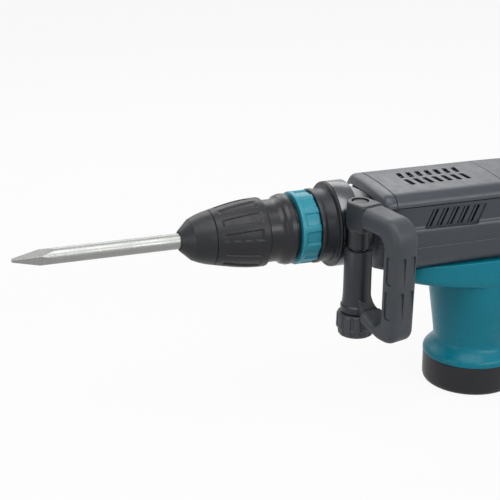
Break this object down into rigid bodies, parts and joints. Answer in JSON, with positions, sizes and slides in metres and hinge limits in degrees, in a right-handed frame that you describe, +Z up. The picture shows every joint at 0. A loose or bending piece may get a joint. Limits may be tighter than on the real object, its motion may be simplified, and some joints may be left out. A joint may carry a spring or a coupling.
{
  "type": "electric demolition hammer",
  "caption": "Upright-motor electric demolition hammer with a bull point bit, fluted chuck, swinging side handle clamped by a steel band and a closed rear handle with trigger.",
  "frame": {"origin": "centre of the foot cap's flat underside, on the motor axis", "axes": "+Z up along the motor, the bit points to -X, -Y is the operator's left, where the side handle is"},
  "size_m": [0.767, 0.2083, 0.2756],
  "materials": {
    "bit_steel": "satin forged steel",
    "rubber_nose": "moulded black rubber",
    "black_plastic": "fine moulded black plastic",
    "gloss_black": "smooth black plastic",
    "charcoal_plastic": "fine textured charcoal plastic",
    "teal_plastic": "smooth teal plastic",
    "teal_ring": "moulded teal plastic",
    "barrel_grey": "dark coated cast barrel",
    "polished_steel": "polished steel strap",
    "bright_steel": "ground steel",
    "dark_steel": "hardened dark steel",
    "laminated_steel": "laminated core with windings",
    "cast_aluminium": "cast aluminium",
    "copper": "copper and brass",
    "carbon": "pressed carbon",
    "handle_plastic": "charcoal glass-filled plastic",
    "handle_rubber": "soft charcoal overmould",
    "green_lens": "green lamp lens",
    "red_lens": "red lamp lens"
  },
  "bodies": {
    "housing": {"barrel": "barrel_grey", "cylinder": "bright_steel", "crankcase": "cast_aluminium", "crank_cover": "cast_aluminium", "crank_bearing": "bright_steel", "motor_housing": "teal_plastic", "foot_cap": "black_plastic", "stator": "laminated_steel", "upper_bearing": "bright_steel", "lower_bearing": "bright_steel", "bearing_bracket": "cast_aluminium", "end_bracket": "black_plastic", "brush_holder_left": "copper", "brush_holder_right": "copper", "carbon_brush_left": "carbon", "carbon_brush_right": "carbon", "top_cover": "charcoal_plastic", "side_cover_left": "charcoal_plastic", "side_cover_right": "charcoal_plastic", "rear_cover": "charcoal_plastic", "rear_handle_left": "charcoal_plastic", "rear_handle_right": "charcoal_plastic", "rear_grip": "handle_rubber", "switch_body": "black_plastic", "speed_controller": "black_plastic", "power_lamp": "green_lens", "service_lamp": "red_lens", "cord_inlet": "rubber_nose"},
    "tool_holder": {"tool_holder": "dark_steel", "nose_cap": "rubber_nose", "guide_sleeve": "gloss_black", "lock_roller_upper": "bright_steel", "lock_roller_lower": "bright_steel", "retainer_spring": "bright_steel"},
    "release_cover": {"release_cover": "black_plastic", "lock_ring": "dark_steel"},
    "change_ring": {"change_ring": "teal_ring"},
    "bull_point": {"bull_point": "bit_steel"},
    "impact_bolt": {"impact_bolt": "bright_steel"},
    "striker": {"striker": "bright_steel"},
    "piston": {"piston": "cast_aluminium", "piston_pin": "bright_steel", "connecting_rod": "dark_steel", "crank_pin": "bright_steel"},
    "crank": {"crank_shaft": "dark_steel", "crank_gear": "dark_steel"},
    "armature": {"armature_shaft": "dark_steel", "armature_core": "laminated_steel", "commutator": "copper", "cooling_fan": "black_plastic"},
    "clamp_band": {"clamp_band": "polished_steel"},
    "side_handle": {"side_handle_frame": "handle_plastic", "side_handle_grip": "handle_rubber", "clamp_bolt": "bright_steel"},
    "clamp_knob": {"clamp_knob": "black_plastic"},
    "switch_trigger": {"switch_trigger": "black_plastic"},
    "lock_button": {"lock_button": "black_plastic"},
    "speed_dial": {"speed_dial": "black_plastic"}
  },
  "joints": [
    {"name": "holder_turn", "type": "hinge", "parent": "housing", "child": "tool_holder", "pos_m": [-0.3, 0, 0.226], "axis": [1, 0, 0], "continuous": true},
    {"name": "cover_slide", "type": "slide", "parent": "tool_holder", "child": "release_cover", "axis": [1, 0, 0], "range_m": [0, 0.012], "stiffness_N_per_m": 600, "springref_m": -0.01, "deforming": ["retainer_spring"]},
    {"name": "ring_slide", "type": "slide", "parent": "tool_holder", "child": "change_ring", "axis": [-1, 0, 0], "range_m": [0, 0.005], "stiffness_N_per_m": 800, "springref_m": -0.005},
    {"name": "bit_slide", "type": "slide", "parent": "tool_holder", "child": "bull_point", "axis": [-1, 0, 0], "range_m": [0, 0.022]},
    {"name": "impact_bolt_slide", "type": "slide", "parent": "tool_holder", "child": "impact_bolt", "axis": [-1, 0, 0], "range_m": [0, 0.004]},
    {"name": "striker_slide", "type": "slide", "parent": "housing", "child": "striker", "axis": [-1, 0, 0], "range_m": [0, 0.0125]},
    {"name": "piston_slide", "type": "slide", "parent": "housing", "child": "piston", "axis": [-1, 0, 0], "range_m": [0, 0.04]},
    {"name": "crank_turn", "type": "hinge", "parent": "housing", "child": "crank", "pos_m": [-0.0448, 0, 0.184], "axis": [0, 0, 1], "continuous": true},
    {"name": "armature_turn", "type": "hinge", "parent": "housing", "child": "armature", "pos_m": [0, 0, 0.094], "axis": [0, 0, 1], "continuous": true},
    {"name": "band_turn", "type": "hinge", "parent": "housing", "child": "clamp_band", "pos_m": [-0.19, 0, 0.226], "axis": [1, 0, 0], "continuous": true},
    {"name": "handle_swing", "type": "hinge", "parent": "clamp_band", "child": "side_handle", "pos_m": [-0.19, -0.066, 0.226], "axis": [0, 0, 1], "range_deg": [-90, 15]},
    {"name": "knob_turn", "type": "hinge", "parent": "side_handle", "child": "clamp_knob", "pos_m": [-0.19, -0.066, 0.128], "axis": [0, 0, 1], "continuous": true},
    {"name": "trigger_pull", "type": "hinge", "parent": "housing", "child": "switch_trigger", "pos_m": [0.16, 0, 0.204], "axis": [0, -1, 0], "range_deg": [0, 8], "stiffness_Nm_per_rad": 0.6, "springref_deg": -11.46},
    {"name": "button_press", "type": "slide", "parent": "housing", "child": "lock_button", "axis": [0, 1, 0], "range_m": [0, 0.003], "stiffness_N_per_m": 800, "springref_m": -0.002},
    {"name": "dial_turn", "type": "hinge", "parent": "housing", "child": "speed_dial", "pos_m": [0.06, -0.0435, 0.238], "axis": [0, 0, 1], "range_deg": [0, 240]}
  ],
  "couplings": [
    {"joint": "crank_turn", "follows": "armature_turn", "ratio": -0.14286}
  ]
}
